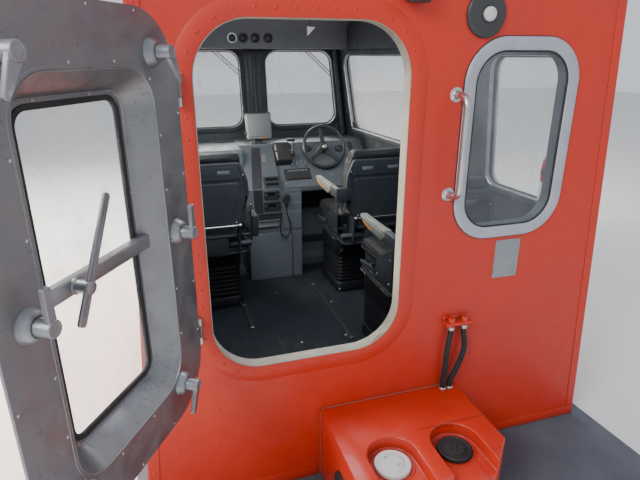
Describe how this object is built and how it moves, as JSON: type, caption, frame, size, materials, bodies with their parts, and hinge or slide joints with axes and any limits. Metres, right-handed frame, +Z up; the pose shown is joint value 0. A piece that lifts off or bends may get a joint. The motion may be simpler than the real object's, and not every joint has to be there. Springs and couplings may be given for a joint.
{
  "type": "rigid inflatable boat wheelhouse",
  "caption": "Wheelhouse of a rigid inflatable boat on its deck plate, with an open weathertight door, windows, console and seats.",
  "frame": {"origin": "middle of the deck plate's underside, on the centreline, 1.35 m ahead of the aft wall's outer face", "axes": "+X to starboard, +Y forward, +Z up"},
  "size_m": [2.1653, 3.4428, 2.0403],
  "materials": {
    "hull_paint": "glossy orange-red gelcoat, weathered",
    "deck": "non-slip deck paint",
    "door_aluminium": "bare, dull and brushed",
    "window_frame": "satin anodised",
    "edge_trim": "pale edge trim, worn",
    "steel": "polished stainless steel",
    "glass": "safety glass with salt film",
    "rubber": "matte",
    "red_fittings": "gloss enamel",
    "cap_white": "satin",
    "console": "textured grey",
    "lining": "dark headlining",
    "upholstery": "worn imitation leather",
    "seat_shell": "moulded",
    "black_plastic": "satin"
  },
  "bodies": {
    "cabin": {"aft_lamp": "black_plastic", "aft_wall": "hull_paint", "aft_window_frame": "window_frame", "aft_window_glass": "glass", "console": "console", "deck_box": "hull_paint", "deck_box_cap_black": "rubber", "deck_box_cap_white": "cap_white", "deck_plate": "deck", "door_hinge_lower": "steel", "door_hinge_upper": "steel", "extinguisher": "red_fittings", "front_glass_port": "glass", "front_glass_starboard": "glass", "front_wall": "hull_paint", "grab_handle": "steel", "hose_bracket": "red_fittings", "hose_port": "rubber", "hose_starboard": "rubber", "mic_cord": "rubber", "monitor": "console", "opening_trim": "edge_trim", "overhead_panel": "lining", "radio_mic": "black_plastic", "roof": "hull_paint", "seat_back_port_fore": "upholstery", "seat_back_starboard_aft": "upholstery", "seat_back_starboard_fore": "upholstery", "seat_cushion_port_fore": "upholstery", "seat_cushion_starboard_aft": "upholstery", "seat_cushion_starboard_fore": "upholstery", "seat_frame_port_fore": "seat_shell", "seat_frame_starboard_aft": "seat_shell", "seat_frame_starboard_fore": "seat_shell", "side_glass_aft_port": "glass", "side_glass_aft_starboard": "glass", "side_glass_fore_port": "glass", "side_glass_fore_starboard": "glass", "side_wall_port": "hull_paint", "side_wall_starboard": "hull_paint", "spec_plate": "window_frame", "throttle": "black_plastic", "vent_disc": "black_plastic", "wiper_port": "black_plastic", "wiper_starboard": "black_plastic"},
    "door": {"door_glass": "glass", "door_panel": "door_aluminium"},
    "helm": {"steering_wheel": "black_plastic"}
  },
  "joints": [
    {"name": "door_hinge", "type": "hinge", "parent": "cabin", "child": "door", "pos_m": [-0.728, -1.368, 1.17], "axis": [0, 0, 1], "range_deg": [-28.6, 121.4]},
    {"name": "steering", "type": "hinge", "parent": "cabin", "child": "helm", "pos_m": [0.412, 0.806, 0.988], "axis": [0, -0.9063, 0.4226], "range_deg": [-630, 630]}
  ]
}
